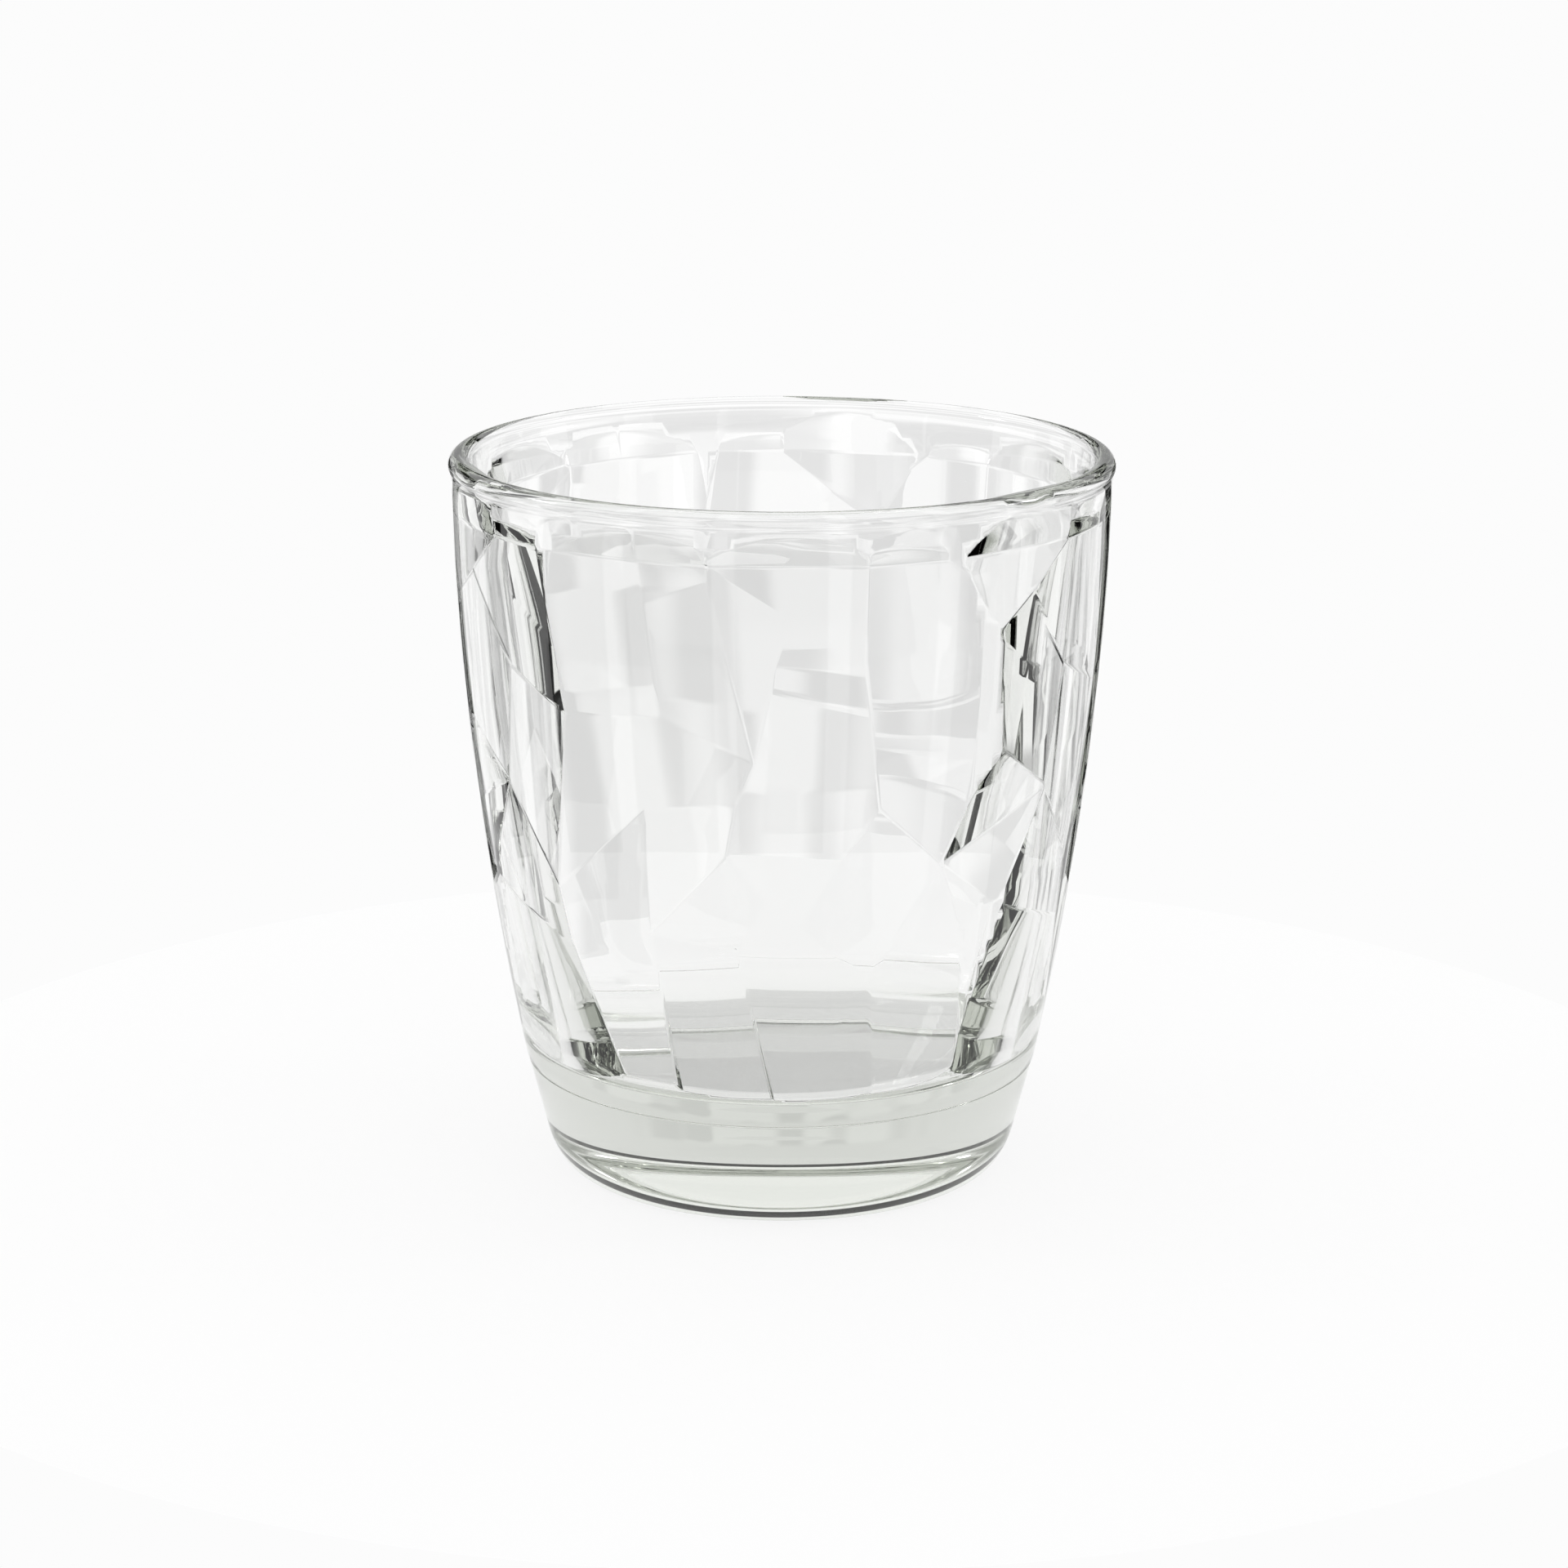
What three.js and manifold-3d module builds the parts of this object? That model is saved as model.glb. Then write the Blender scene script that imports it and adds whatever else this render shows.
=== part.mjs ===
// Pressed clear-glass whiskey tumbler, one piece, in millimetres with +Z up.
// Smooth tapered outside on a short straight foot, many flat facets on the inside.
// Azimuths are in degrees, counted from the front (-Y) towards the right (+X).
import * as THREE from 'three';
import { mergeVertices } from 'three/addons/utils/BufferGeometryUtils.js';
import Module from 'manifold-3d';

const wasm = await Module();
wasm.setup();

// Driving dimensions
const HEIGHT = 93;
const RIM_RADIUS = 42;
const BEAD_RADIUS = 1.4;          // half the thickness of the rounded rim
const WALL_TOP_RADIUS = 41.6;     // outside wall just under the rim bead
const WALL_TOP_Z = 90;
const WALL_TAPER = 11.8;          // how much narrower the outside would be at the base
const WALL_CURVE = 1.8;           // power of the taper: it bends in faster near the foot
const FOOT_TOP_Z = 14.5;          // shoulder where the mould halves meet the foot ring
const FOOT_STEP = 0.2;
const FOOT_TOP_RADIUS = 32.9;
const HEEL_TOP_RADIUS = 30.5;
const HEEL_TOP_Z = 5;
const BASE_RADIUS = 26.5;         // outer edge of the flat resting ring
const RING_INNER_RADIUS = 22;     // inner edge of the flat resting ring
const RECESS_RADIUS = 19;
const RECESS_DEPTH = 0.8;         // hollow under the base, inside the resting ring
const FLOOR_Z = 15.8;
const FLOOR_RADIUS = 20;
const TOE_HEIGHT = 5.5;           // rounding between the floor and the inner wall
const SMOOTH_WALL = 2.4;          // glass thickness where the inside is smooth
const FACET_TOP_Z = 86;
const ROUND_SEGMENTS = 96;
const SECTORS = 3;                // the facet pattern repeats this many times around

// Corners of the facets in one sector: [azimuth, height]
const CORNERS = {
  t1: [-47, FACET_TOP_Z], t2: [-26, FACET_TOP_Z], t3: [-13, FACET_TOP_Z],
  t4: [15, FACET_TOP_Z], t5: [30, FACET_TOP_Z], t6: [60, FACET_TOP_Z],
  u1: [-25, 81], u2: [-13, 84], u3: [1, 80], u4: [15, 75],
  u5: [34, 84], u6: [39, 75], u7: [50, 80.5], u8: [62, 70],
  m1: [-42, 66], m2: [-23, 67], m3: [-5, 62], m4: [-8.5, 56.5], m5: [-27, 55],
  m6: [-10.5, 50], m7: [18.5, 56], m8: [41, 63], m9: [31.5, 48], m10: [58.5, 55],
  l1: [-48, 43], l2: [-27, 39], l3: [-9, 37.5], l4: [-3, 44], l5: [4, 41],
  l6: [18.5, 33.5], l7: [41, 31.5], l8: [46.5, 41], l9: [-46, 35.5],
  b1: [-33, 14], b2: [-22, 14], b3: [0, 14], b4: [22, 14], b5: [40.5, 14],
};

// Facets in one sector: [plane, loop of corners]. The plane goes through [azimuth, height] at a
// glass thickness, and faces an azimuth with a downward lean in degrees. A plus sign on a corner
// means the same corner one sector further.
const FACETS = [
  [[-36, 78, 3.9, -27, 5], 't1 t2 u1 m2 m1'],
  [[-19, 87, 3.7, -24, 4], 't2 t3 u2 u1'],
  [[3, 84, 4.1, 2, 4], 't3 t4 u4 u3'],
  [[-6, 74, 4.1, -2, 3], 't3 u3 m3 u2'],
  [[-16, 73, 4.5, -21, 7], 'u1 u2 m3 m2'],
  [[3, 65, 4.7, 4, 7], 'u3 u4 m7 l5 l4 m6 m4 m3'],
  [[26, 82, 3.3, 21, 5], 't4 t5 u5 u6 u4'],
  [[26, 70, 3.8, 21, 4], 'u4 u6 m8 m9 m7'],
  [[42, 84, 3.3, 48, -5], 't5 t6 u7 u6 u5'],
  [[49, 68, 3.3, 59, 3], 'u6 u7 u8 m10 m8'],
  [[43, 56, 3.0, 50, 14], 'm8 m10 m9'],
  [[52, 47, 2.8, 44, -1], 'm9 m10 l8'],
  [[39, 40, 2.4, 38, 6], 'm9 l8 l7'],
  [[17, 45, 4.5, 11, 9], 'm7 m9 l6 l5'],
  [[30, 30, 3.7, 21, 11], 'l6 m9 l7 b5 b4'],
  [[10, 30, 5.1, 4, 10], 'l3 l4 l5 l6 b4 b3'],
  [[-13, 43, 4.7, -12, 12], 'm6 l4 l3 l2'],
  [[-14, 31, 5.0, -9, 8], 'l2 l3 b3 b2'],
  [[-18, 49, 4.7, -23, 3], 'm5 m4 m6 l2'],
  [[-25, 60, 5.3, -23, 8], 'm1 m2 m3 m4 m5 l1'],
  [[-36, 40, 4.2, -28, 6], 'l1 m5 l2 b2 b1 l9'],
  [[67, 80, 3.6, 62, 6], 't6 t1+ m1+ u8 u7'],
  [[69, 58, 3.6, 66, 3], 'u8 m1+ l1+ m10'],
  [[64, 43, 3.3, 62, 8], 'm10 l1+ l9+ l8'],
  [[65, 28, 4.2, 62, 14], 'l8 l9+ b1+ b5 l7'],
].map(([plane, loop]) => ({ plane, loop: loop.split(' ') }));
const TOP_ROW = ['t1', 't2', 't3', 't4', 't5', 't6'];
const BOTTOM_ROW = ['b1', 'b2', 'b3', 'b4', 'b5'];
const FLARE_TOP_Z = 95;
const FLARE_LEAN = 25;            // how far the glass opens out above the facets, in degrees

// Outside radius of the tapered wall at a height
function wallRadius(z) {
  const below = 1 - Math.min(z, WALL_TOP_Z) / WALL_TOP_Z;
  return WALL_TOP_RADIUS - WALL_TAPER * below ** WALL_CURVE;
}

// Points of an arc of an ellipse, from angle a0 to a1 in degrees
function ellipseArc(cx, cy, rx, ry, a0, a1, steps) {
  const points = [];
  for (let i = 0; i <= steps; i += 1) {
    const a = THREE.MathUtils.degToRad(a0 + ((a1 - a0) * i) / steps);
    points.push(new THREE.Vector2(cx + rx * Math.cos(a), cy + ry * Math.sin(a)));
  }
  return points;
}

// Points of a profile that follows a radius formula between two heights
function wallPoints(z0, z1, steps, radiusAt) {
  const points = [];
  for (let i = 0; i <= steps; i += 1) {
    const z = z0 + ((z1 - z0) * i) / steps;
    points.push(new THREE.Vector2(radiusAt(z), z));
  }
  return points;
}

// A geometry turned around the Z axis from a profile that starts and ends on it
function turned(profile) {
  return new THREE.LatheGeometry(profile, ROUND_SEGMENTS).rotateX(Math.PI / 2);
}

// A manifold solid from any closed three.js geometry
function solid(geometry) {
  geometry.deleteAttribute('normal');
  geometry.deleteAttribute('uv');
  const merged = mergeVertices(geometry, 1e-4);
  const mesh = new wasm.Mesh({
    numProp: 3,
    vertProperties: new Float32Array(merged.attributes.position.array),
    triVerts: new Uint32Array(merged.index.array),
  });
  return new wasm.Manifold(mesh);
}

// The glass as one full round block: underside, heel, foot, wall and rim bead
function outerBlock() {
  const heelArc = 62;
  const heelX = (HEEL_TOP_RADIUS - BASE_RADIUS) / Math.sin(THREE.MathUtils.degToRad(heelArc));
  const heelY = HEEL_TOP_Z / (1 - Math.cos(THREE.MathUtils.degToRad(heelArc)));
  const beadX = RIM_RADIUS - BEAD_RADIUS;
  const beadY = HEIGHT - BEAD_RADIUS;
  return turned([
    new THREE.Vector2(0, RECESS_DEPTH),
    new THREE.Vector2(RECESS_RADIUS, RECESS_DEPTH),
    new THREE.Vector2(RING_INNER_RADIUS, 0),
    ...ellipseArc(BASE_RADIUS, heelY, heelX, heelY, -90, heelArc - 90, 7),
    new THREE.Vector2(FOOT_TOP_RADIUS, FOOT_TOP_Z - FOOT_STEP),
    new THREE.Vector2(FOOT_TOP_RADIUS - FOOT_STEP, FOOT_TOP_Z),
    ...wallPoints(FOOT_TOP_Z + FOOT_STEP, WALL_TOP_Z, 12, wallRadius),
    ...ellipseArc(beadX, beadY, BEAD_RADIUS, BEAD_RADIUS, -30, 90, 6),
    new THREE.Vector2(0, HEIGHT),
  ]);
}

// The smooth inside: floor, rounded toe, wall and the inner half of the rim bead
function smoothInside() {
  const toeTop = FLOOR_Z + TOE_HEIGHT;
  const toeRadius = wallRadius(toeTop) - SMOOTH_WALL;
  const beadX = RIM_RADIUS - BEAD_RADIUS;
  const beadY = HEIGHT - BEAD_RADIUS;
  const above = HEIGHT + 2;
  return turned([
    new THREE.Vector2(0, FLOOR_Z),
    ...ellipseArc(FLOOR_RADIUS, toeTop, toeRadius - FLOOR_RADIUS, TOE_HEIGHT, -90, 0, 7),
    ...wallPoints(toeTop + 4, beadY - 1, 12, (z) => wallRadius(z) - SMOOTH_WALL),
    ...ellipseArc(beadX, beadY, BEAD_RADIUS, BEAD_RADIUS, 180, 90, 4),
    new THREE.Vector2(beadX, above),
    new THREE.Vector2(0, above),
  ]);
}

// Unit vector that faces an azimuth and leans down by some degrees
function direction(azimuth, lean = 0) {
  const a = THREE.MathUtils.degToRad(azimuth);
  const down = THREE.MathUtils.degToRad(lean);
  return new THREE.Vector3(
    Math.cos(down) * Math.sin(a),
    -Math.cos(down) * Math.cos(a),
    -Math.sin(down),
  );
}

// The plane a facet lies in
function facetPlane([azimuth, z, glass, facing, lean]) {
  const middle = direction(azimuth).multiplyScalar(wallRadius(z) - glass).setZ(z);
  return new THREE.Plane().setFromNormalAndCoplanarPoint(direction(facing, lean), middle);
}

// Distance from the axis to a plane, level at a height and towards an azimuth
function reachOf(plane, azimuth, z) {
  const out = direction(azimuth);
  return -(plane.constant + plane.normal.z * z) / out.dot(plane.normal);
}

// Corner positions of one sector: each at the mean reach of the facets that meet there
function sectorCorners() {
  const reaches = {};
  for (const { plane, loop } of FACETS) {
    const flat = facetPlane(plane);
    for (const label of loop) {
      const [azimuth, z] = CORNERS[label.replace('+', '')];
      const shifted = label.endsWith('+') ? azimuth + 360 / SECTORS : azimuth;
      (reaches[label.replace('+', '')] ??= []).push(reachOf(flat, shifted, z));
    }
  }
  const corners = {};
  for (const [name, [azimuth, z]] of Object.entries(CORNERS)) {
    const mean = reaches[name].reduce((sum, r) => sum + r, 0) / reaches[name].length;
    corners[name] = direction(azimuth).multiplyScalar(mean).setZ(z);
  }
  return corners;
}

// The faceted block that bounds the inside, flared out at its top for the smooth rim
function facetBlock() {
  const corners = sectorCorners();
  const flareRise = FLARE_TOP_Z - FACET_TOP_Z;
  const flareOut = flareRise * Math.tan(THREE.MathUtils.degToRad(FLARE_LEAN));
  const positions = [];
  const index = {};
  const addPoint = (name, p) => {
    index[name] = positions.length / 3;
    positions.push(p.x, p.y, p.z);
  };
  const axis = new THREE.Vector3(0, 0, 1);
  for (let sector = 0; sector < SECTORS; sector += 1) {
    const turn = (2 * Math.PI * sector) / SECTORS;
    for (const [name, p] of Object.entries(corners)) {
      addPoint(`${name}/${sector}`, p.clone().applyAxisAngle(axis, turn));
    }
    for (const name of TOP_ROW) {
      const p = corners[name].clone().applyAxisAngle(axis, turn);
      const out = new THREE.Vector3(p.x, p.y, 0).setLength(flareOut);
      addPoint(`${name}/${sector}/flare`, p.add(out).setZ(FLARE_TOP_Z));
    }
  }
  addPoint('lid', new THREE.Vector3(0, 0, FLARE_TOP_Z));
  addPoint('bottom', new THREE.Vector3(0, 0, CORNERS.b1[1]));

  const faces = [];
  const find = (label, sector) => (label.endsWith('+')
    ? index[`${label.slice(0, -1)}/${(sector + 1) % SECTORS}`]
    : index[`${label}/${sector}`]);
  const nextIn = (row, i, sector) => (i === row.length - 1
    ? `${row[0]}/${(sector + 1) % SECTORS}`
    : `${row[i + 1]}/${sector}`);
  for (let sector = 0; sector < SECTORS; sector += 1) {
    for (const { loop } of FACETS) {
      const unrolled = loop.map((label) => {
        const [azimuth, z] = CORNERS[label.replace('+', '')];
        const shifted = label.endsWith('+') ? azimuth + 360 / SECTORS : azimuth;
        return new THREE.Vector2(THREE.MathUtils.degToRad(shifted) * WALL_TOP_RADIUS, z);
      });
      for (const tri of THREE.ShapeUtils.triangulateShape(unrolled, [])) {
        const [a, b, c] = tri.map((i) => unrolled[i]);
        const clockwise = (b.x - a.x) * (c.y - a.y) - (b.y - a.y) * (c.x - a.x) < 0;
        const order = clockwise ? [tri[2], tri[1], tri[0]] : tri;
        faces.push(...order.map((i) => find(loop[i], sector)));
      }
    }
    TOP_ROW.forEach((name, i) => {
      const here = `${name}/${sector}`;
      const next = nextIn(TOP_ROW, i, sector);
      faces.push(index[here], index[next], index[`${next}/flare`]);
      faces.push(index[here], index[`${next}/flare`], index[`${here}/flare`]);
      faces.push(index[`${here}/flare`], index[`${next}/flare`], index.lid);
    });
    BOTTOM_ROW.forEach((name, i) => {
      faces.push(index[nextIn(BOTTOM_ROW, i, sector)], index[`${name}/${sector}`], index.bottom);
    });
  }
  const geometry = new THREE.BufferGeometry();
  geometry.setAttribute('position', new THREE.Float32BufferAttribute(positions, 3));
  geometry.setIndex(faces);
  return geometry;
}

// The glass itself: the outer block with the faceted inside taken out
function tumblerGeometry() {
  const inside = solid(smoothInside()).intersect(solid(facetBlock()));
  const { vertProperties, triVerts } = solid(outerBlock()).subtract(inside).getMesh();
  const geometry = new THREE.BufferGeometry();
  geometry.setAttribute('position', new THREE.BufferAttribute(vertProperties, 3));
  geometry.setIndex(new THREE.BufferAttribute(triVerts, 1));
  geometry.computeVertexNormals();
  return geometry;
}

const clearGlass = new THREE.MeshStandardMaterial({
  color: 0xeef2f1,
  roughness: 0.03,
  metalness: 0,
});
const tumbler = new THREE.Mesh(tumblerGeometry(), clearGlass);
tumbler.name = 'tumbler';

const group = new THREE.Group();
group.add(tumbler);

export default group;
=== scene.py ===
"""Clear pressed-glass whiskey tumbler on a plain pale floor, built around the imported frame.

The visible glass is made in millimetres (front is -Y, azimuth runs towards +X) and stored in
metres. It has the same driving sizes as the CAD solid, with narrow soft ridges between facets.
"""
import math

import bmesh
import bpy
from mathutils import Matrix, Vector


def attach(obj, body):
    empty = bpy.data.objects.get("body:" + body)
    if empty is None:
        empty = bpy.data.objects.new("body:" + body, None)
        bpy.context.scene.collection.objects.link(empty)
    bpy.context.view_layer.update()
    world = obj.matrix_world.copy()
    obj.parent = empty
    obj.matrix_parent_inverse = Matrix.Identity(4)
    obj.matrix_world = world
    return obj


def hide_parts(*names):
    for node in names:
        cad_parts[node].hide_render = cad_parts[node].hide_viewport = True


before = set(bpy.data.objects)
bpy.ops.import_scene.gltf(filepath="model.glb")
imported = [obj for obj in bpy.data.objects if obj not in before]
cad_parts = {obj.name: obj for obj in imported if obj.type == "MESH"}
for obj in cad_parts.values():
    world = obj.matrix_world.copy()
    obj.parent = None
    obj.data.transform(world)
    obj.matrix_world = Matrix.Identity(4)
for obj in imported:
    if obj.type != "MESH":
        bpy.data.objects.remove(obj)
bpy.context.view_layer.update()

MM = 0.001
WHITE = (1, 1, 1, 1)

# Driving dimensions of the glass, in millimetres and degrees
HEIGHT = 93
RIM_RADIUS = 42
BEAD_RADIUS = 1.4
BEAD_CENTRE_R = RIM_RADIUS - BEAD_RADIUS
BEAD_CENTRE_Z = HEIGHT - BEAD_RADIUS
WALL_TOP_RADIUS = 41.6
WALL_TOP_Z = 90
WALL_TAPER = 11.8
WALL_CURVE = 1.8                  # 1 would be a straight cone, more bends in near the foot
FOOT_TOP_Z = 14.5
FOOT_STEP = 0.2
FOOT_TOP_RADIUS = 32.9
HEEL_TOP_RADIUS = 30.5
HEEL_TOP_Z = 5
HEEL_ARC = 62
BASE_RADIUS = 26.5
RING_INNER_RADIUS = 22
RECESS_RADIUS = 19
RECESS_DEPTH = 0.8
FLOOR_Z = 15.8
FLOOR_RADIUS = 20
TOE_HEIGHT = 5.5
TOE_BLEND = 2                     # height in which the toe goes over into the inner wall
BEAD_BLEND = 1                    # height in which the inner wall goes over into the bead
SMOOTH_WALL = 2.4
FACET_TOP_Z = 86
CUT_TOP_Z = HEIGHT + 2            # the shapes that hollow out the glass reach past its rim
FLARE_LEAN = 20                   # how much more the inside opens out above a facet
RIDGE_ROUNDING = 0.3              # how far each facet stops short of a shared side
ROUND_SEGMENTS = 192
SECTORS = 3
FACE_WEIGHT = 100                 # large faces decide the shading, so facets look flat

# Corners of the facets in one sector: azimuth in degrees, height in millimetres
CORNERS = {
    "t1": (-47, FACET_TOP_Z), "t2": (-26, FACET_TOP_Z), "t3": (-13, FACET_TOP_Z),
    "t4": (15, FACET_TOP_Z), "t5": (30, FACET_TOP_Z), "t6": (60, FACET_TOP_Z),
    "u1": (-25, 81), "u2": (-13, 84), "u3": (1, 80), "u4": (15, 75),
    "u5": (34, 84), "u6": (39, 75), "u7": (50, 80.5), "u8": (62, 70),
    "m1": (-42, 66), "m2": (-23, 67), "m3": (-5, 62), "m4": (-8.5, 56.5), "m5": (-27, 55),
    "m6": (-10.5, 50), "m7": (18.5, 56), "m8": (41, 63), "m9": (31.5, 48), "m10": (58.5, 55),
    "l1": (-48, 43), "l2": (-27, 39), "l3": (-9, 37.5), "l4": (-3, 44), "l5": (4, 41),
    "l6": (18.5, 33.5), "l7": (41, 31.5), "l8": (46.5, 41), "l9": (-46, 35.5),
    "b1": (-33, 14), "b2": (-22, 14), "b3": (0, 14), "b4": (22, 14), "b5": (40.5, 14),
}

# Facets in one sector, each a flat plane and the loop of corners around it. The plane goes
# through (azimuth, height) at a glass thickness, and faces an azimuth with a downward lean.
# A plus sign on a corner means the same corner one sector further.
FACETS = [
    ((-36, 78, 3.9, -27, 5), "t1 t2 u1 m2 m1"),
    ((-19, 87, 3.7, -24, 4), "t2 t3 u2 u1"),
    ((3, 84, 4.1, 2, 4), "t3 t4 u4 u3"),
    ((-6, 74, 4.1, -2, 3), "t3 u3 m3 u2"),
    ((-16, 73, 4.5, -21, 7), "u1 u2 m3 m2"),
    ((3, 65, 4.7, 4, 7), "u3 u4 m7 l5 l4 m6 m4 m3"),
    ((26, 82, 3.3, 21, 5), "t4 t5 u5 u6 u4"),
    ((26, 70, 3.8, 21, 4), "u4 u6 m8 m9 m7"),
    ((42, 84, 3.3, 48, -5), "t5 t6 u7 u6 u5"),
    ((49, 68, 3.3, 59, 3), "u6 u7 u8 m10 m8"),
    ((43, 56, 3.0, 50, 14), "m8 m10 m9"),
    ((52, 47, 2.8, 44, -1), "m9 m10 l8"),
    ((39, 40, 2.4, 38, 6), "m9 l8 l7"),
    ((17, 45, 4.5, 11, 9), "m7 m9 l6 l5"),
    ((30, 30, 3.7, 21, 11), "l6 m9 l7 b5 b4"),
    ((10, 30, 5.1, 4, 10), "l3 l4 l5 l6 b4 b3"),
    ((-13, 43, 4.7, -12, 12), "m6 l4 l3 l2"),
    ((-14, 31, 5.0, -9, 8), "l2 l3 b3 b2"),
    ((-18, 49, 4.7, -23, 3), "m5 m4 m6 l2"),
    ((-25, 60, 5.3, -23, 8), "m1 m2 m3 m4 m5 l1"),
    ((-36, 40, 4.2, -28, 6), "l1 m5 l2 b2 b1 l9"),
    ((67, 80, 3.6, 62, 6), "t6 t1+ m1+ u8 u7"),
    ((69, 58, 3.6, 66, 3), "u8 m1+ l1+ m10"),
    ((64, 43, 3.3, 62, 8), "m10 l1+ l9+ l8"),
    ((65, 28, 4.2, 62, 14), "l8 l9+ b1+ b5 l7"),
]


def wall_radius(z):
    """Outside radius of the tapered wall at a height."""
    below = 1 - min(z, WALL_TOP_Z) / WALL_TOP_Z
    return WALL_TOP_RADIUS - WALL_TAPER * below ** WALL_CURVE


def arc(centre_r, centre_z, radius_r, radius_z, start, end, steps):
    """Points of an elliptical arc in a profile, from one angle to another."""
    points = []
    for i in range(steps + 1):
        angle = math.radians(start + (end - start) * i / steps)
        points.append((centre_r + radius_r * math.cos(angle),
                       centre_z + radius_z * math.sin(angle)))
    return points


def wall_points(low, high, steps, inset):
    """Points of a profile that follows the wall between two heights, inset from its outside."""
    heights = [low + (high - low) * i / steps for i in range(steps + 1)]
    return [(wall_radius(z) - inset, z) for z in heights]


def new_object(name, bm):
    """A new scene object from an edited mesh, with its faces pointing outwards."""
    mesh = bpy.data.meshes.new(name)
    bmesh.ops.recalc_face_normals(bm, faces=bm.faces)
    bm.to_mesh(mesh)
    bm.free()
    obj = bpy.data.objects.new(name, mesh)
    bpy.context.scene.collection.objects.link(obj)
    return obj


def turned(name, profile):
    """A closed mesh turned around the Z axis, from a profile that starts and ends on it."""
    bm = bmesh.new()
    rings = []
    for r, z in profile[1:-1]:
        ring = []
        for i in range(ROUND_SEGMENTS):
            angle = 2 * math.pi * i / ROUND_SEGMENTS
            ring.append(bm.verts.new((r * math.cos(angle), r * math.sin(angle), z)))
        rings.append(ring)
    for low, high in zip(rings, rings[1:]):
        for i in range(ROUND_SEGMENTS):
            j = (i + 1) % ROUND_SEGMENTS
            bm.faces.new((low[i], low[j], high[j], high[i]))
    for ring, z in ((rings[0], profile[0][1]), (rings[-1], profile[-1][1])):
        pole = bm.verts.new((0, 0, z))
        for i in range(ROUND_SEGMENTS):
            bm.faces.new((ring[i], ring[(i + 1) % ROUND_SEGMENTS], pole))
    return new_object(name, bm)


def outer_block():
    """The glass as a full round block: underside, heel, foot, wall and rim bead."""
    heel_r = (HEEL_TOP_RADIUS - BASE_RADIUS) / math.sin(math.radians(HEEL_ARC))
    heel_z = HEEL_TOP_Z / (1 - math.cos(math.radians(HEEL_ARC)))
    profile = [
        (0, RECESS_DEPTH),
        (RECESS_RADIUS / 2, RECESS_DEPTH),
        *arc(RECESS_RADIUS, 0, RING_INNER_RADIUS - RECESS_RADIUS, RECESS_DEPTH,
             start=90, end=0, steps=8),
        *arc(BASE_RADIUS, heel_z, heel_r, heel_z, start=-90, end=HEEL_ARC - 90, steps=16),
        (FOOT_TOP_RADIUS - FOOT_STEP / 2, FOOT_TOP_Z - 2 * FOOT_STEP),
        (FOOT_TOP_RADIUS, FOOT_TOP_Z - FOOT_STEP),
        (FOOT_TOP_RADIUS - FOOT_STEP, FOOT_TOP_Z),
        *wall_points(FOOT_TOP_Z + FOOT_STEP, WALL_TOP_Z, steps=40, inset=0),
        *arc(BEAD_CENTRE_R, BEAD_CENTRE_Z, BEAD_RADIUS, BEAD_RADIUS, start=-30, end=90, steps=12),
        (0, HEIGHT),
    ]
    return turned("outer_block", profile)


def smooth_inside():
    """The smooth inside: floor, rounded toe, wall and the inner half of the rim bead."""
    toe_top = FLOOR_Z + TOE_HEIGHT
    toe_radius = wall_radius(toe_top) - SMOOTH_WALL
    profile = [
        (0, FLOOR_Z),
        (FLOOR_RADIUS / 2, FLOOR_Z),
        *arc(FLOOR_RADIUS, toe_top, toe_radius - FLOOR_RADIUS, TOE_HEIGHT,
             start=-90, end=0, steps=14),
        *wall_points(toe_top + TOE_BLEND, BEAD_CENTRE_Z - BEAD_BLEND, steps=30, inset=SMOOTH_WALL),
        *arc(BEAD_CENTRE_R, BEAD_CENTRE_Z, BEAD_RADIUS, BEAD_RADIUS, start=180, end=90, steps=9),
        (BEAD_CENTRE_R, CUT_TOP_Z),
        (0, CUT_TOP_Z),
    ]
    return turned("smooth_inside", profile)


def direction(azimuth, lean=0):
    """Unit vector that faces an azimuth and leans down by some degrees."""
    across = math.radians(azimuth)
    down = math.radians(lean)
    return Vector((math.cos(down) * math.sin(across), -math.cos(down) * math.cos(across),
                   -math.sin(down)))


def corners_of(labels, sector):
    """The named corners around a facet, each with the sector that it stands in."""
    return [(label.rstrip("+"), (sector + label.count("+")) % SECTORS)
            for label in labels.split()]


def flare_above(normal, middle, facing, lean, top):
    """The flare that starts where a facet ends at its two top corners, and opens out more."""
    reach = Vector((normal.x, normal.y, 0)).normalized()
    rise = FACET_TOP_Z - middle.z
    edge = middle + reach * (rise * math.tan(math.radians(lean)))
    edge.z = FACET_TOP_Z
    over = [("f" + name[1:], sector) for name, sector in reversed(top)]
    return direction(facing, lean + FLARE_LEAN), edge, top + over


def facet_planes():
    """Every facet around the glass, and its flare: normal, point on it, loop of corners."""
    planes = []
    for sector in range(SECTORS):
        turn = sector * 360 / SECTORS
        for (azimuth, z, glass, facing, lean), labels in FACETS:
            middle = direction(azimuth + turn) * (wall_radius(z) - glass) + Vector((0, 0, z))
            normal = direction(facing + turn, lean)
            loop = corners_of(labels, sector)
            planes.append((normal, middle, loop))
            top = [corner for corner in loop if corner[0].startswith("t")]
            if len(top) == 2:
                planes.append(flare_above(normal, middle, facing + turn, lean, top))
    return planes


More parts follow.
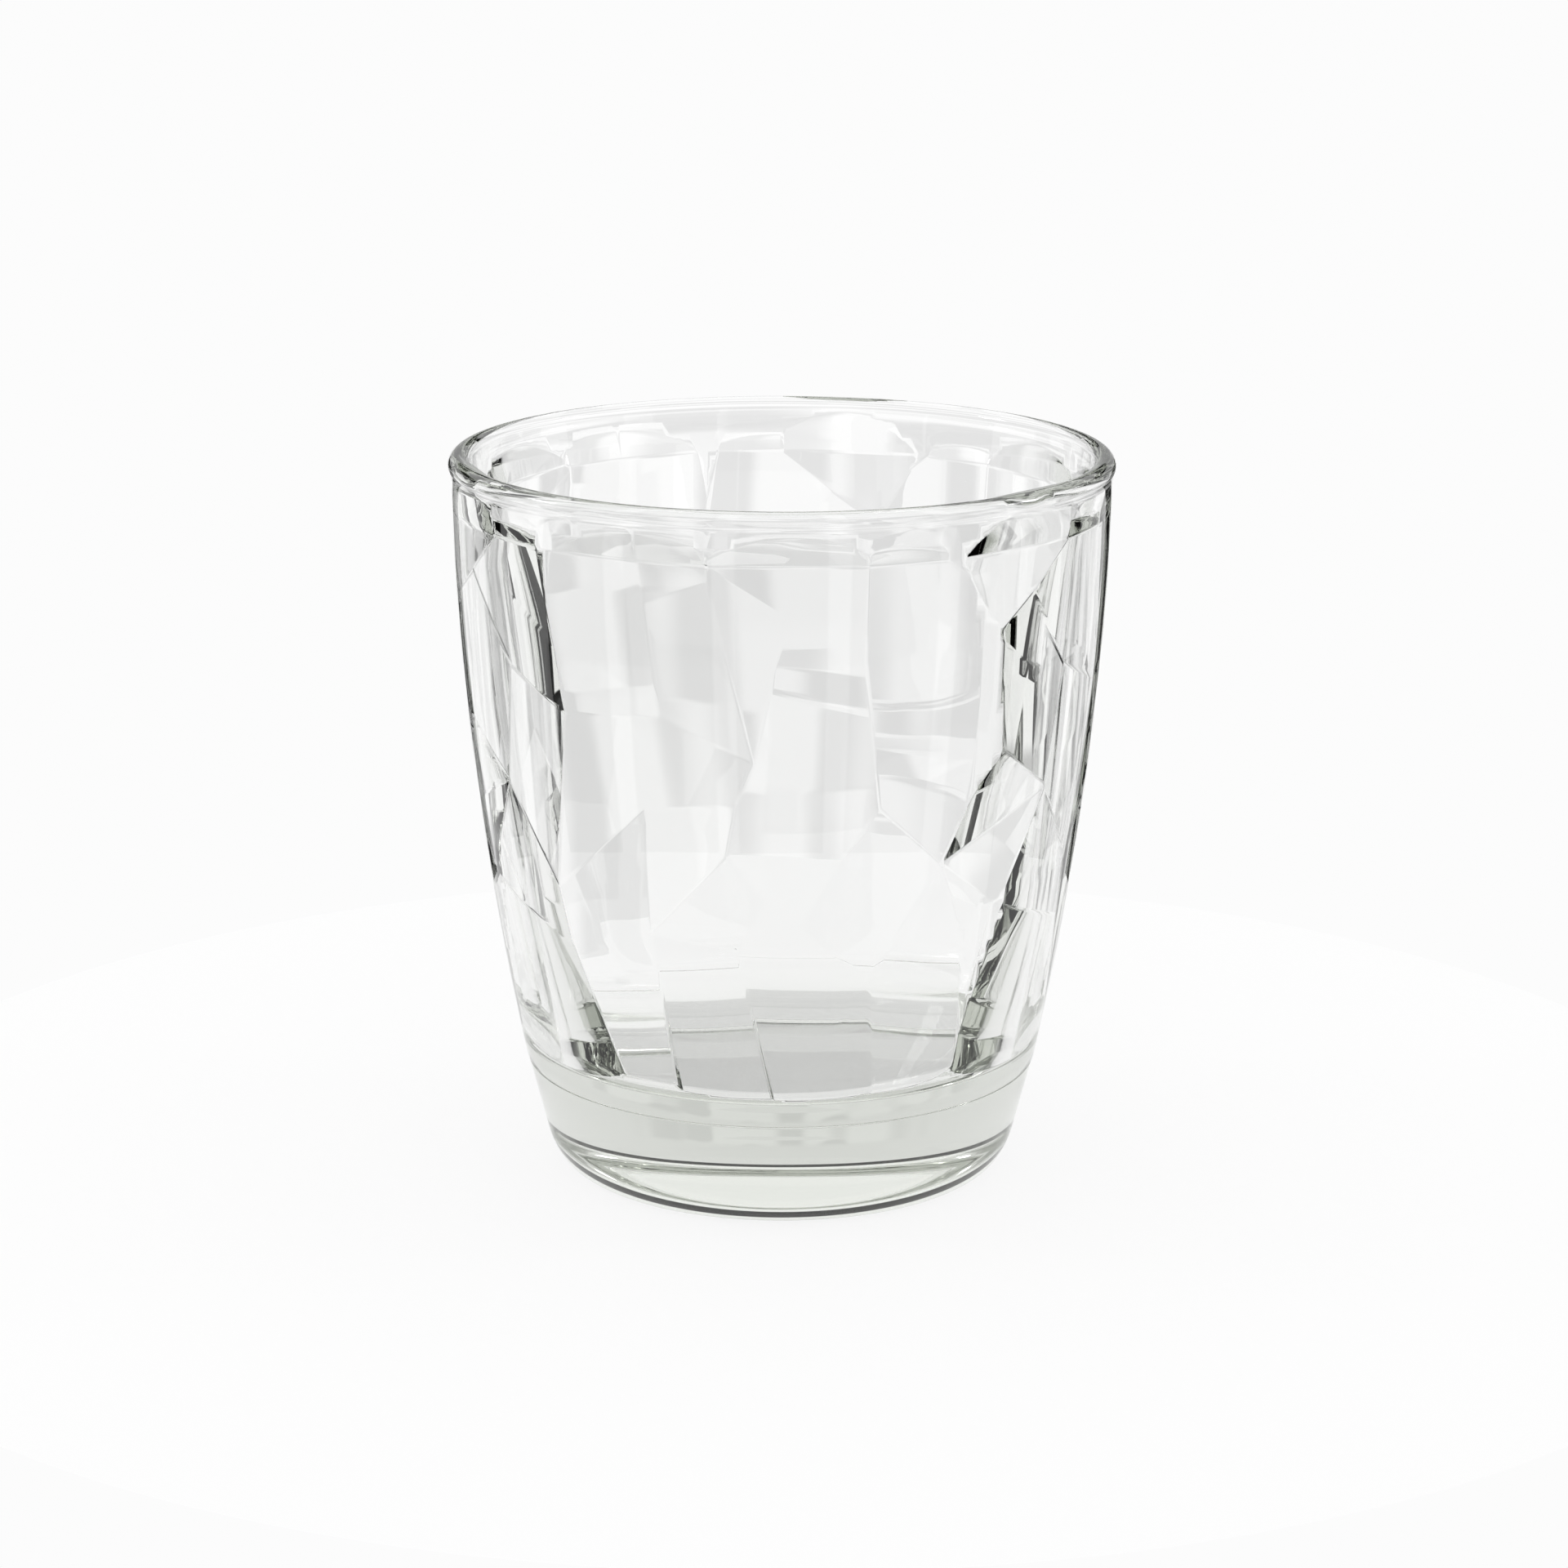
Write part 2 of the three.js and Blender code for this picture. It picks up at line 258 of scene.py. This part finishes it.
def corner_on(plane_normal, plane_point, corner):
    """Where the horizontal line from the axis through a corner meets a plane."""
    name, sector = corner
    if name.startswith("f"):
        azimuth = CORNERS["t" + name[1:]][0]
        z = CUT_TOP_Z
    else:
        azimuth, z = CORNERS[name]
    out = direction(azimuth + sector * 360 / SECTORS)
    start = Vector((0, 0, z))
    return start + out * ((plane_point - start).dot(plane_normal) / out.dot(plane_normal))


def inset_loop(points, normal, insets):
    """Moves each side of a flat loop inwards by its own inset."""
    count = len(points)
    middle = sum(points, Vector()) / count
    spin = sum(((a - middle).cross(b - middle) for a, b in zip(points, points[1:])), Vector())
    sign = 1 if spin.dot(normal) > 0 else -1
    inward = []
    for i, point in enumerate(points):
        side = (points[(i + 1) % count] - point).normalized()
        inward.append(normal.cross(side) * sign)
    moved = []
    for i, point in enumerate(points):
        before = inward[i - 1]
        after = inward[i]
        mix = before.dot(after)
        scale = 1 / (1 - mix * mix)
        along_before = insets[i - 1] - insets[i] * mix
        along_after = insets[i] - insets[i - 1] * mix
        moved.append(point + before * along_before * scale + after * along_after * scale)
    return moved


def sides_of(loop):
    """The sides of a loop, each a pair of corners in alphabetical order."""
    return [tuple(sorted(pair)) for pair in zip(loop, loop[1:] + loop[:1])]


def add_facets(bm, planes, sides):
    """Adds each facet, inset from its shared sides, and returns its vertex at each corner."""
    placed = {}
    for number, (normal, middle, loop) in enumerate(planes):
        points = [corner_on(normal, middle, corner) for corner in loop]
        insets = [RIDGE_ROUNDING if len(sides[side]) == 2 else 0 for side in sides_of(loop)]
        for corner, point in zip(loop, inset_loop(points, normal, insets)):
            placed[number, corner] = bm.verts.new(point)
        bm.faces.new([placed[number, corner] for corner in loop])
    return placed


def add_ridges(bm, placed, sides):
    """Joins the two facets along each shared side with a narrow strip."""
    for (start, end), numbers in sides.items():
        if len(numbers) == 2:
            first, second = numbers
            bm.faces.new((placed[first, start], placed[first, end],
                          placed[second, end], placed[second, start]))


def add_corner_caps(bm, placed):
    """Closes the small hole at each corner where three or more facets meet."""
    around = {}
    for (_, corner), vert in placed.items():
        around.setdefault(corner, []).append(vert)
    for verts in around.values():
        if len(verts) > 2:
            out = sum((vert.co for vert in verts), Vector()) / len(verts)
            radial = Vector((out.x, out.y, 0)).normalized()
            across = Vector((0, 0, 1)).cross(radial)
            verts.sort(key=lambda v: math.atan2((v.co - out).z, (v.co - out).dot(across)))
            bm.faces.new(verts)


def facet_block():
    """The faceted block that bounds the inside: flat facets joined by narrow soft ridges."""
    planes = facet_planes()
    sides = {}
    for number, (_, _, loop) in enumerate(planes):
        for side in sides_of(loop):
            sides.setdefault(side, []).append(number)
    bm = bmesh.new()
    placed = add_facets(bm, planes, sides)
    add_ridges(bm, placed, sides)
    add_corner_caps(bm, placed)
    open_edges = [edge for edge in bm.edges if len(edge.link_faces) == 1]
    bmesh.ops.holes_fill(bm, edges=open_edges)
    return new_object("facet_block", bm)


def combine(target, tool, operation):
    """Applies an exact boolean to the target and removes the tool."""
    cut = target.modifiers.new(operation.lower(), "BOOLEAN")
    cut.operation = operation
    cut.solver = "EXACT"
    cut.object = tool
    bpy.context.view_layer.objects.active = target
    bpy.ops.object.modifier_apply(modifier=cut.name)
    bpy.data.objects.remove(tool)


def feed(links, socket, value):
    """Links another socket, or sets a plain number."""
    if isinstance(value, (int, float)):
        socket.default_value = value
    else:
        links.new(value, socket)


def fade(tree, value, start, end, low, high, shape="SMOOTHSTEP"):
    """Change of a number from low to high while a value goes from start to end."""
    node = tree.nodes.new("ShaderNodeMapRange")
    node.interpolation_type = shape
    for name, number in (("From Min", start), ("From Max", end), ("To Min", low),
                         ("To Max", high), ("Value", value)):
        feed(tree.links, node.inputs[name], number)
    return node.outputs["Result"]


def calculate(tree, operation, *values):
    """Result of one operation on sockets or plain numbers."""
    node = tree.nodes.new("ShaderNodeMath")
    node.operation = operation
    for socket, value in zip(node.inputs, values):
        feed(tree.links, socket, value)
    return node.outputs["Value"]


def noise(tree, place, scale, detail):
    """Soft random pattern over a place."""
    node = tree.nodes.new("ShaderNodeTexNoise")
    node.inputs["Scale"].default_value = scale
    node.inputs["Detail"].default_value = detail
    tree.links.new(place, node.inputs["Vector"])
    return node.outputs["Fac"]


# Clear glass: faint waves from the mould, patches of duller polish, olive in its depth.
# Scales are in waves or patches per metre.
GLASS_IOR = 1.52
GLASS_TINT = (0.5, 0.53, 0.46, 1)
GLASS_DENSITY = 13
WAVE_SCALE = 90
WAVE_DETAIL = 1
WAVE_STRENGTH = 0.5
WAVE_HEIGHT = 0.03                # millimetres
SMUDGE_SCALE = 140
SMUDGE_DETAIL = 4
SMUDGE_START = 0.55               # strength of the pattern where the polish starts to dull
SMUDGE_FULL = 0.8                 # and where it is dullest
SMUDGE_ROUGHNESS = 0.03


def glass_material():
    """Clear pressed glass, rough and bumped so faintly that it still looks polished."""
    material = bpy.data.materials.new("clear_pressed_glass")
    material.use_nodes = True
    tree = material.node_tree
    shader = tree.nodes["Principled BSDF"]
    shader.inputs["Base Color"].default_value = WHITE
    shader.inputs["Transmission Weight"].default_value = 1
    shader.inputs["IOR"].default_value = GLASS_IOR
    place = tree.nodes.new("ShaderNodeTexCoord").outputs["Object"]

    bump = tree.nodes.new("ShaderNodeBump")
    bump.inputs["Strength"].default_value = WAVE_STRENGTH
    bump.inputs["Distance"].default_value = WAVE_HEIGHT * MM
    tree.links.new(noise(tree, place, WAVE_SCALE, WAVE_DETAIL), bump.inputs["Height"])
    tree.links.new(bump.outputs["Normal"], shader.inputs["Normal"])

    smudges = noise(tree, place, SMUDGE_SCALE, SMUDGE_DETAIL)
    polish = fade(tree, smudges, SMUDGE_START, SMUDGE_FULL, 0, SMUDGE_ROUGHNESS, "LINEAR")
    tree.links.new(polish, shader.inputs["Roughness"])

    depth = tree.nodes.new("ShaderNodeVolumeAbsorption")
    depth.inputs["Color"].default_value = GLASS_TINT
    depth.inputs["Density"].default_value = GLASS_DENSITY
    tree.links.new(depth.outputs["Volume"], tree.nodes["Material Output"].inputs["Volume"])
    return material


def make_tumbler():
    """The finished glass: the outer block minus a faceted inside, in metres."""
    inside = smooth_inside()
    combine(inside, facet_block(), "INTERSECT")
    glass = outer_block()
    glass.name = "tumbler_glass"
    combine(glass, inside, "DIFFERENCE")
    glass.data.transform(Matrix.Scale(MM, 4))
    glass.data.shade_smooth()
    weighted = glass.modifiers.new("flat_facets", "WEIGHTED_NORMAL")
    weighted.mode = "FACE_AREA"
    weighted.weight = FACE_WEIGHT
    weighted.keep_sharp = True
    glass.data.materials.clear()
    glass.data.materials.append(glass_material())
    return glass


tumbler = make_tumbler()
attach(tumbler, "root")
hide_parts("tumbler")

# Camera: straight in front, a little above, level but for a slight roll, in millimetres and
# degrees
CAMERA_PLACE = Vector((0.35, -541, 191))
CAMERA_DOWN = 14.655
CAMERA_ROLL = 0.142
CAMERA_LENS = 100
CAMERA_SENSOR = 36
CAMERA_NEAR = 0.01                # metres
CAMERA_FAR = 100                  # metres


def make_camera():
    """The camera that the scene is looked at with."""
    data = bpy.data.cameras.new("camera")
    data.lens = CAMERA_LENS
    data.sensor_width = CAMERA_SENSOR
    data.clip_start = CAMERA_NEAR
    data.clip_end = CAMERA_FAR
    camera = bpy.data.objects.new("camera", data)
    bpy.context.scene.collection.objects.link(camera)
    tilt = Matrix.Rotation(math.radians(90 - CAMERA_DOWN), 4, "X")
    roll = Matrix.Rotation(math.radians(CAMERA_ROLL), 4, "Z")
    camera.matrix_world = Matrix.Translation(CAMERA_PLACE * MM) @ tilt @ roll
    bpy.context.scene.camera = camera


# Studio: a small white floor in a white surround, a grey backdrop all around, a dark gap above
# it at the back, and a bright ceiling. Seen through the glass the low surround isn't quite even.
# Light that has been mirrored in the glass finds light panels and dark gaps there instead.
# Elevations are in degrees above the horizon, and y goes from -1 in front to 1 behind.
STAGE_RADIUS = 130                # millimetres
STAGE_SEGMENTS = 96
STAGE_GLOW = 0.845
STAGE_COLOUR = (0.12, 0.12, 0.12, 1)
SURROUND_LIGHT = 0.973
PATCH_SCALE = 9
PATCH_START = 0.45                # strength of the pattern up to which the surround is dim
PATCH_END = 0.6                   # and from which it is bright
PATCH_DIM = 0.86
PATCH_BRIGHT = 1.04
BACKDROP_LIGHT = 0.62
GAP_LIGHT = 0.02
CEILING_LIGHT = 1.2
PANEL_LIGHT = 1.05
PANELS = 9                        # light panels in a full turn
PANEL_LEVEL_IN_FRONT = 0.75       # the higher the level, the narrower the panels
PANEL_LEVEL_BEHIND = -0.6
PANEL_LEVEL_CHANGE = 0.05         # the level changes within this much of y = 0
PANEL_EDGE = 0.12
PANEL_TOP = -2
BACKDROP_BOTTOM = 0
BACKDROP_TOP = 12.5
GAP_BOTTOM = 13.5
GAP_TOP = 18.5
GAP_CHANGE = 0.2                  # the dark gap fades in within this much of y = 0
CEILING_BOTTOM = 20.5
MAX_BOUNCES = 32
GLOSSY_BOUNCES = 16
DIFFUSE_BOUNCES = 4
SOFT_BOXES = [
    # azimuth from the front, elevation, distance, width and height in metres, radiance
    (-95, 32, 0.9, 0.18, 0.14, 8.0),
    (95, 32, 0.9, 0.18, 0.14, 8.0),
]


def has_met(tree, depth):
    """One for light that has been mirrored, or let through, at least once, and zero if never."""
    path = tree.nodes.new("ShaderNodeLightPath")
    return fade(tree, path.outputs[depth], 0, 1, 0, 1)


def height_of(elevation):
    """Height of a direction at an elevation, from -1 straight down to 1 straight up."""
    return math.sin(math.radians(elevation))


def panel_light(tree, split):
    """Light from the panels and gaps around the floor, from a direction split into x, y, z."""
    turn = calculate(tree, "ARCTAN2", split.outputs["Y"], split.outputs["X"])
    wave = calculate(tree, "SINE", calculate(tree, "MULTIPLY", turn, PANELS))
    level = fade(tree, split.outputs["Y"], -PANEL_LEVEL_CHANGE, PANEL_LEVEL_CHANGE,
                 PANEL_LEVEL_IN_FRONT, PANEL_LEVEL_BEHIND)
    above = calculate(tree, "SUBTRACT", wave, level)
    return fade(tree, above, 0, PANEL_EDGE, GAP_LIGHT, PANEL_LIGHT)


def surround_light(tree, place, up):
    """Light of the white surround: even in itself, patchy below the horizon through glass."""
    pattern = noise(tree, place, PATCH_SCALE, 0)
    patches = fade(tree, pattern, PATCH_START, PATCH_END, PATCH_DIM, PATCH_BRIGHT)
    uneven = fade(tree, up, height_of(PANEL_TOP), 0, patches, SURROUND_LIGHT)
    return fade(tree, has_met(tree, "Transmission Depth"), 0, 1, SURROUND_LIGHT, uneven)


def make_world():
    """The surround, from the lowest band of elevations to the ceiling."""
    world = bpy.data.worlds.new("studio")
    world.use_nodes = True
    bpy.context.scene.world = world
    tree = world.node_tree
    place = tree.nodes.new("ShaderNodeTexCoord").outputs["Generated"]
    split = tree.nodes.new("ShaderNodeSeparateXYZ")
    tree.links.new(place, split.inputs["Vector"])
    up = split.outputs["Z"]
    around = fade(tree, up, height_of(PANEL_TOP), height_of(BACKDROP_BOTTOM),
                  panel_light(tree, split), BACKDROP_LIGHT)
    mirrored = has_met(tree, "Glossy Depth")
    low = fade(tree, mirrored, 0, 1, surround_light(tree, place, up), around)
    gap = fade(tree, split.outputs["Y"], -GAP_CHANGE, GAP_CHANGE, BACKDROP_LIGHT, GAP_LIGHT)
    wall = fade(tree, up, height_of(BACKDROP_TOP), height_of(GAP_BOTTOM), low, gap)
    sky = fade(tree, up, height_of(GAP_TOP), height_of(CEILING_BOTTOM), wall, CEILING_LIGHT)
    background = tree.nodes["Background"]
    background.inputs["Color"].default_value = WHITE
    tree.links.new(sky, background.inputs["Strength"])


def make_soft_boxes():
    """The lamps that give the small highlights on rim and wall."""
    for azimuth, elevation, distance, width, height, radiance in SOFT_BOXES:
        light = bpy.data.lights.new("soft_box", "AREA")
        light.shape = "RECTANGLE"
        light.size = width
        light.size_y = height
        light.energy = radiance * math.pi * width * height
        lamp = bpy.data.objects.new("soft_box", light)
        bpy.context.scene.collection.objects.link(lamp)
        towards = direction(azimuth, -elevation)
        lamp.location = towards * distance
        lamp.rotation_euler = towards.to_track_quat("Z", "Y").to_euler()


def make_floor():
    """A matt disc under the glass that is as white as the surround."""
    bm = bmesh.new()
    bmesh.ops.create_circle(bm, cap_ends=True, radius=STAGE_RADIUS * MM, segments=STAGE_SEGMENTS)
    floor = new_object("floor", bm)
    material = bpy.data.materials.new("pale_floor")
    material.use_nodes = True
    shader = material.node_tree.nodes["Principled BSDF"]
    shader.inputs["Base Color"].default_value = STAGE_COLOUR
    shader.inputs["Roughness"].default_value = 1
    shader.inputs["Specular IOR Level"].default_value = 0
    shader.inputs["Emission Color"].default_value = WHITE
    shader.inputs["Emission Strength"].default_value = STAGE_GLOW
    floor.data.materials.append(material)


make_camera()
make_world()
make_soft_boxes()
make_floor()

scene = bpy.context.scene
scene.view_settings.view_transform = "Standard"
scene.cycles.max_bounces = MAX_BOUNCES
scene.cycles.transmission_bounces = MAX_BOUNCES
scene.cycles.glossy_bounces = GLOSSY_BOUNCES
scene.cycles.diffuse_bounces = DIFFUSE_BOUNCES
